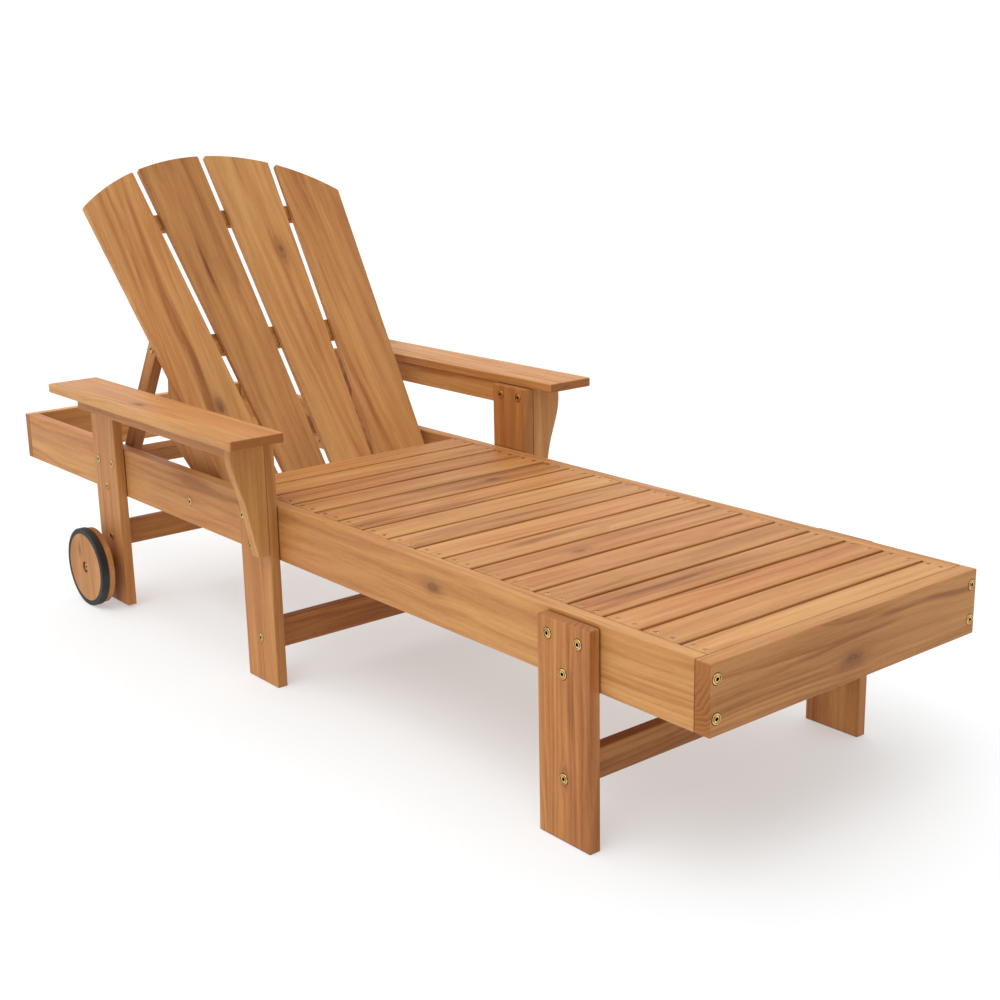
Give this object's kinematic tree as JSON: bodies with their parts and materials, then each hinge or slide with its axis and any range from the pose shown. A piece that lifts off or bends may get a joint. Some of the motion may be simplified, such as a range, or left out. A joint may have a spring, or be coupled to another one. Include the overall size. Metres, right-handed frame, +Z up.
{
  "type": "reclining sun lounger",
  "caption": "Slatted hardwood sun lounger with a fan-shaped reclining backrest, propped from behind, flat armrests on posts and a pair of small rear wheels.",
  "frame": {"origin": "on the floor, under the middle of the lounger's length and width", "axes": "+Z up; +Y towards the head end; +X towards the left-hand side of a person lying on it"},
  "size_m": [0.764, 2.002, 0.8566],
  "materials": {
    "hardwood": "oiled warm honey-brown hardwood with open grain",
    "brass_hardware": "dull yellow-plated furniture bolts and screws",
    "tyre_rubber": "matt black rubber"
  },
  "bodies": {
    "frame": {"backrest_pivot_bolts": "brass_hardware", "foot_board": "hardwood", "foot_stretcher": "hardwood", "frame_bolts": "brass_hardware", "front_stretcher": "hardwood", "head_board": "hardwood", "left_arm_bracket": "hardwood", "left_arm_rail": "hardwood", "left_armrest": "hardwood", "left_foot_leg": "hardwood", "left_front_post": "hardwood", "left_rack_rail": "hardwood", "left_rear_post": "hardwood", "left_seat_cleat": "hardwood", "left_side_rail": "hardwood", "rear_stretcher": "hardwood", "right_arm_bracket": "hardwood", "right_arm_rail": "hardwood", "right_armrest": "hardwood", "right_foot_leg": "hardwood", "right_front_post": "hardwood", "right_rack_rail": "hardwood", "right_rear_post": "hardwood", "right_seat_cleat": "hardwood", "right_side_rail": "hardwood", "seat_screws": "brass_hardware", "seat_slat_01": "hardwood", "seat_slat_02": "hardwood", "seat_slat_03": "hardwood", "seat_slat_04": "hardwood", "seat_slat_05": "hardwood", "seat_slat_06": "hardwood", "seat_slat_07": "hardwood", "seat_slat_08": "hardwood", "seat_slat_09": "hardwood", "seat_slat_10": "hardwood", "seat_slat_11": "hardwood", "seat_slat_12": "hardwood", "seat_slat_13": "hardwood", "seat_slat_14": "hardwood", "seat_slat_15": "hardwood", "seat_slat_16": "hardwood", "seat_slat_17": "hardwood", "wheel_axles": "brass_hardware"},
    "backrest": {"backrest_middle_batten": "hardwood", "backrest_slat_1": "hardwood", "backrest_slat_2": "hardwood", "backrest_slat_3": "hardwood", "backrest_slat_4": "hardwood", "backrest_top_batten": "hardwood", "left_hinge_stile": "hardwood", "prop_bolts": "brass_hardware", "right_hinge_stile": "hardwood"},
    "prop": {"left_prop_arm": "hardwood", "prop_crossbar": "hardwood", "right_prop_arm": "hardwood"},
    "right_wheel": {"right_wheel_core": "hardwood", "right_tyre": "tyre_rubber"},
    "left_wheel": {"left_wheel_core": "hardwood", "left_tyre": "tyre_rubber"}
  },
  "joints": [
    {"name": "backrest_recline", "type": "hinge", "parent": "frame", "child": "backrest", "pos_m": [0, 0.271, 0.265], "axis": [1, 0, 0], "range_deg": [-49.5, 14]},
    {"name": "prop_swing", "type": "hinge", "parent": "backrest", "child": "prop", "pos_m": [0, 0.434, 0.521], "axis": [1, 0, 0], "range_deg": [-28, 99]},
    {"name": "right_wheel_spin", "type": "hinge", "parent": "frame", "child": "right_wheel", "pos_m": [-0.325, 0.6, 0.078], "axis": [1, 0, 0], "continuous": true},
    {"name": "left_wheel_spin", "type": "hinge", "parent": "frame", "child": "left_wheel", "pos_m": [0.325, 0.6, 0.078], "axis": [1, 0, 0], "continuous": true}
  ],
  "couplings": [
    {"joint": "prop_swing", "follows": "backrest_recline", "ratio": -2}
  ]
}
